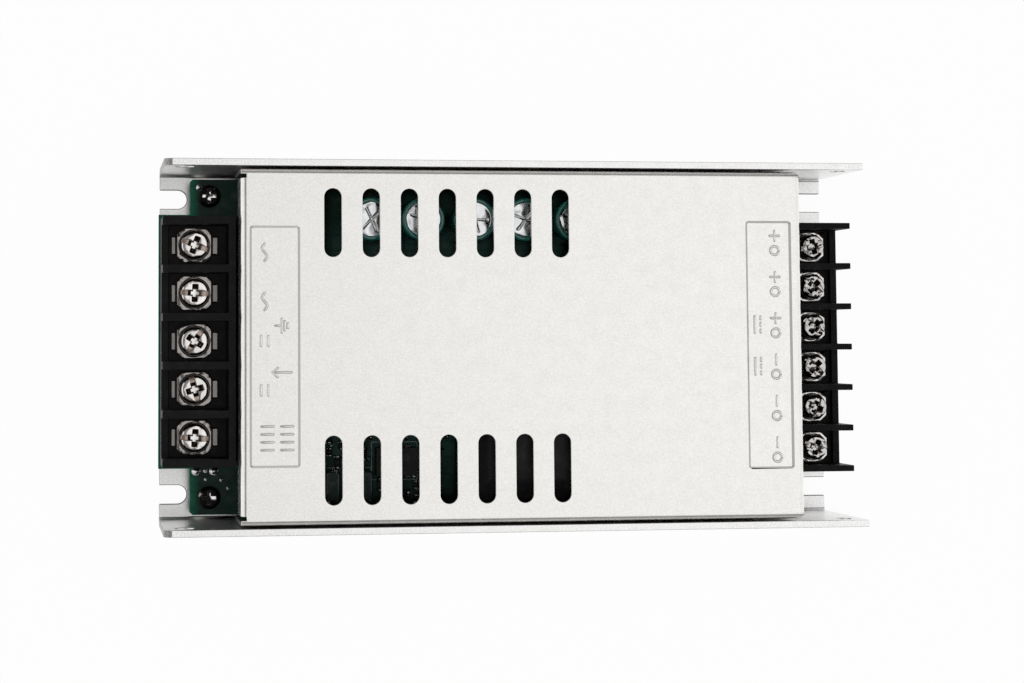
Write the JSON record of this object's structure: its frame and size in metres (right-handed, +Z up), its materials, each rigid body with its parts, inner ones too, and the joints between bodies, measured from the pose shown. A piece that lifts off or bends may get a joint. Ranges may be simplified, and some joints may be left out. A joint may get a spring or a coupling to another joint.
{
  "type": "power supply",
  "caption": "Slim enclosed switching power supply: folded aluminium tray, slotted cover, green circuit board and barrier screw terminal blocks at both ends.",
  "frame": {"origin": "middle of the tray's underside", "axes": "+X from the input end to the output end, +Y across the tray, +Z up through the cover"},
  "size_m": [0.1624, 0.084, 0.03],
  "materials": {
    "tray_aluminium": "bare folded sheet, satin",
    "cover_aluminium": "bare folded sheet, satin",
    "board_green": "green solder mask on glass laminate",
    "film_black": "matt insulating film",
    "terminal_black": "moulded, fine matt",
    "plated_steel": "bright nickel plate",
    "plated_brass": "tinned brass",
    "dark_screw": "blackened steel",
    "spacer_metal": "zinc plate",
    "sleeve_green": "shrunk sleeve on an aluminium can",
    "ferrite": "fired, matt",
    "ring_core": "painted ring core",
    "copper_wire": "enamelled copper wire",
    "tape_black": "wrapped tape",
    "bobbin_black": "moulded",
    "epoxy_blue": "dipped epoxy",
    "epoxy_dark": "dipped coating",
    "epoxy_green": "dipped film capacitor",
    "film_yellow": "boxed film capacitor",
    "fuse_brown": "moulded",
    "package_black": "moulded epoxy package",
    "package_white": "moulded epoxy package",
    "resistor_tan": "coated ceramic",
    "bar_aluminium": "sawn bar"
  },
  "bodies": {
    "enclosure": {"base_tray": "tray_aluminium", "insulation_film": "film_black", "circuit_board": "board_green", "board_spacers": "spacer_metal", "board_screws": "dark_screw", "top_cover": "cover_aluminium", "cover_screws": "plated_steel", "input_terminal_body": "terminal_black", "input_contacts": "plated_brass", "output_terminal_body": "terminal_black", "output_contacts": "plated_brass", "fuse": "fuse_brown", "varistor": "epoxy_blue", "thermistor": "epoxy_dark", "filter_capacitor": "film_yellow", "filter_choke_core": "ferrite", "filter_choke_winding": "copper_wire", "bridge_rectifier": "package_black", "bulk_capacitors": "sleeve_green", "safety_capacitors": "epoxy_blue", "switch_heat_bar": "bar_aluminium", "switch_transistors": "package_black", "transformer_core": "ferrite", "transformer_bobbin": "bobbin_black", "transformer_winding": "tape_black", "rectifier_heat_bar": "bar_aluminium", "output_rectifiers": "package_black", "heat_bar_screws": "plated_steel", "output_choke_core": "ring_core", "output_choke_winding": "copper_wire", "output_capacitors": "sleeve_green", "control_chip": "package_black", "optocouplers": "package_white", "film_capacitors": "epoxy_green", "power_resistors": "resistor_tan"},
    "input_clamp_1": {"input_clamp_1": "plated_steel"},
    "input_screw_1": {"input_screw_1": "plated_steel"},
    "input_clamp_2": {"input_clamp_2": "plated_steel"},
    "input_screw_2": {"input_screw_2": "plated_steel"},
    "input_clamp_3": {"input_clamp_3": "plated_steel"},
    "input_screw_3": {"input_screw_3": "plated_steel"},
    "input_clamp_4": {"input_clamp_4": "plated_steel"},
    "input_screw_4": {"input_screw_4": "plated_steel"},
    "input_clamp_5": {"input_clamp_5": "plated_steel"},
    "input_screw_5": {"input_screw_5": "plated_steel"},
    "output_clamp_1": {"output_clamp_1": "plated_steel"},
    "output_screw_1": {"output_screw_1": "plated_steel"},
    "output_clamp_2": {"output_clamp_2": "plated_steel"},
    "output_screw_2": {"output_screw_2": "plated_steel"},
    "output_clamp_3": {"output_clamp_3": "plated_steel"},
    "output_screw_3": {"output_screw_3": "plated_steel"},
    "output_clamp_4": {"output_clamp_4": "plated_steel"},
    "output_screw_4": {"output_screw_4": "plated_steel"},
    "output_clamp_5": {"output_clamp_5": "plated_steel"},
    "output_screw_5": {"output_screw_5": "plated_steel"},
    "output_clamp_6": {"output_clamp_6": "plated_steel"},
    "output_screw_6": {"output_screw_6": "plated_steel"}
  },
  "joints": [
    {"name": "input_clamp_1_lift", "type": "slide", "parent": "enclosure", "child": "input_clamp_1", "axis": [0, 0, 1], "range_m": [0, 0.0024]},
    {"name": "input_screw_1_turn", "type": "hinge", "parent": "input_clamp_1", "child": "input_screw_1", "pos_m": [-0.0735, 0.0232, 0.0148], "axis": [0, 0, 1], "range_deg": [0, 1440]},
    {"name": "input_clamp_2_lift", "type": "slide", "parent": "enclosure", "child": "input_clamp_2", "axis": [0, 0, 1], "range_m": [0, 0.0024]},
    {"name": "input_screw_2_turn", "type": "hinge", "parent": "input_clamp_2", "child": "input_screw_2", "pos_m": [-0.0735, 0.0122, 0.0148], "axis": [0, 0, 1], "range_deg": [0, 1440]},
    {"name": "input_clamp_3_lift", "type": "slide", "parent": "enclosure", "child": "input_clamp_3", "axis": [0, 0, 1], "range_m": [0, 0.0024]},
    {"name": "input_screw_3_turn", "type": "hinge", "parent": "input_clamp_3", "child": "input_screw_3", "pos_m": [-0.0735, 0.0012, 0.0148], "axis": [0, 0, 1], "range_deg": [0, 1440]},
    {"name": "input_clamp_4_lift", "type": "slide", "parent": "enclosure", "child": "input_clamp_4", "axis": [0, 0, 1], "range_m": [0, 0.0024]},
    {"name": "input_screw_4_turn", "type": "hinge", "parent": "input_clamp_4", "child": "input_screw_4", "pos_m": [-0.0735, -0.0098, 0.0148], "axis": [0, 0, 1], "range_deg": [0, 1440]},
    {"name": "input_clamp_5_lift", "type": "slide", "parent": "enclosure", "child": "input_clamp_5", "axis": [0, 0, 1], "range_m": [0, 0.0024]},
    {"name": "input_screw_5_turn", "type": "hinge", "parent": "input_clamp_5", "child": "input_screw_5", "pos_m": [-0.0735, -0.0208, 0.0148], "axis": [0, 0, 1], "range_deg": [0, 1440]},
    {"name": "output_clamp_1_lift", "type": "slide", "parent": "enclosure", "child": "output_clamp_1", "axis": [0, 0, 1], "range_m": [0, 0.0025]},
    {"name": "output_screw_1_turn", "type": "hinge", "parent": "output_clamp_1", "child": "output_screw_1", "pos_m": [0.0734, 0.02315, 0.0148], "axis": [0, 0, 1], "range_deg": [0, 1800]},
    {"name": "output_clamp_2_lift", "type": "slide", "parent": "enclosure", "child": "output_clamp_2", "axis": [0, 0, 1], "range_m": [0, 0.0025]},
    {"name": "output_screw_2_turn", "type": "hinge", "parent": "output_clamp_2", "child": "output_screw_2", "pos_m": [0.0734, 0.01365, 0.0148], "axis": [0, 0, 1], "range_deg": [0, 1800]},
    {"name": "output_clamp_3_lift", "type": "slide", "parent": "enclosure", "child": "output_clamp_3", "axis": [0, 0, 1], "range_m": [0, 0.0025]},
    {"name": "output_screw_3_turn", "type": "hinge", "parent": "output_clamp_3", "child": "output_screw_3", "pos_m": [0.0734, 0.00415, 0.0148], "axis": [0, 0, 1], "range_deg": [0, 1800]},
    {"name": "output_clamp_4_lift", "type": "slide", "parent": "enclosure", "child": "output_clamp_4", "axis": [0, 0, 1], "range_m": [0, 0.0025]},
    {"name": "output_screw_4_turn", "type": "hinge", "parent": "output_clamp_4", "child": "output_screw_4", "pos_m": [0.0734, -0.00535, 0.0148], "axis": [0, 0, 1], "range_deg": [0, 1800]},
    {"name": "output_clamp_5_lift", "type": "slide", "parent": "enclosure", "child": "output_clamp_5", "axis": [0, 0, 1], "range_m": [0, 0.0025]},
    {"name": "output_screw_5_turn", "type": "hinge", "parent": "output_clamp_5", "child": "output_screw_5", "pos_m": [0.0734, -0.01485, 0.0148], "axis": [0, 0, 1], "range_deg": [0, 1800]},
    {"name": "output_clamp_6_lift", "type": "slide", "parent": "enclosure", "child": "output_clamp_6", "axis": [0, 0, 1], "range_m": [0, 0.0025]},
    {"name": "output_screw_6_turn", "type": "hinge", "parent": "output_clamp_6", "child": "output_screw_6", "pos_m": [0.0734, -0.02435, 0.0148], "axis": [0, 0, 1], "range_deg": [0, 1800]}
  ],
  "couplings": [
    {"joint": "input_screw_1_turn", "follows": "input_clamp_1_lift", "rad_per_m": 10472},
    {"joint": "input_screw_2_turn", "follows": "input_clamp_2_lift", "rad_per_m": 10472},
    {"joint": "input_screw_3_turn", "follows": "input_clamp_3_lift", "rad_per_m": 10472},
    {"joint": "input_screw_4_turn", "follows": "input_clamp_4_lift", "rad_per_m": 10472},
    {"joint": "input_screw_5_turn", "follows": "input_clamp_5_lift", "rad_per_m": 10472},
    {"joint": "output_screw_1_turn", "follows": "output_clamp_1_lift", "rad_per_m": 12566},
    {"joint": "output_screw_2_turn", "follows": "output_clamp_2_lift", "rad_per_m": 12566},
    {"joint": "output_screw_3_turn", "follows": "output_clamp_3_lift", "rad_per_m": 12566},
    {"joint": "output_screw_4_turn", "follows": "output_clamp_4_lift", "rad_per_m": 12566},
    {"joint": "output_screw_5_turn", "follows": "output_clamp_5_lift", "rad_per_m": 12566},
    {"joint": "output_screw_6_turn", "follows": "output_clamp_6_lift", "rad_per_m": 12566}
  ]
}
